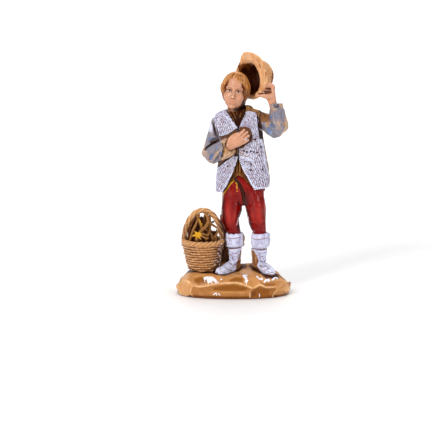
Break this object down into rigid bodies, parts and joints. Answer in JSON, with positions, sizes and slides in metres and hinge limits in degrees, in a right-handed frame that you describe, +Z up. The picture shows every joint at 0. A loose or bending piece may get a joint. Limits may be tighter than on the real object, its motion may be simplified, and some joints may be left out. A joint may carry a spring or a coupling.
{
  "type": "nativity figurine",
  "caption": "Painted nativity figurine: a standing shepherd lifts his hat, one hand on his chest, with a basket of kindling beside him on a rocky base.",
  "frame": {"origin": "The middle of the base's flat underside.", "axes": "+Z up out of the base, +X towards the figure's left hand, +Y towards his back, so he faces -Y."},
  "size_m": [0.052, 0.03, 0.1083],
  "materials": {
    "bare_moulding": "gloss",
    "white_paint": "matte",
    "red_paint": "gloss",
    "brown_wash": "gloss",
    "fleece_paint": "matte",
    "blue_grey_paint": "matte",
    "skin_paint": "matte",
    "hair_paint": "gloss",
    "felt_tan": "gloss",
    "wicker_tan": "gloss",
    "kindling_brown": "gloss"
  },
  "bodies": {
    "root": {"ground_base": "bare_moulding", "boot_right": "white_paint", "boot_left": "white_paint", "breeches": "red_paint", "shirt_body": "brown_wash", "waistcoat": "fleece_paint", "sleeve_right": "blue_grey_paint", "sleeve_left": "blue_grey_paint", "hand_right": "skin_paint", "hand_left": "skin_paint", "head": "skin_paint", "hair": "hair_paint", "hat": "felt_tan", "basket_body": "wicker_tan", "basket_handle": "wicker_tan", "kindling": "kindling_brown"}
  },
  "joints": []
}
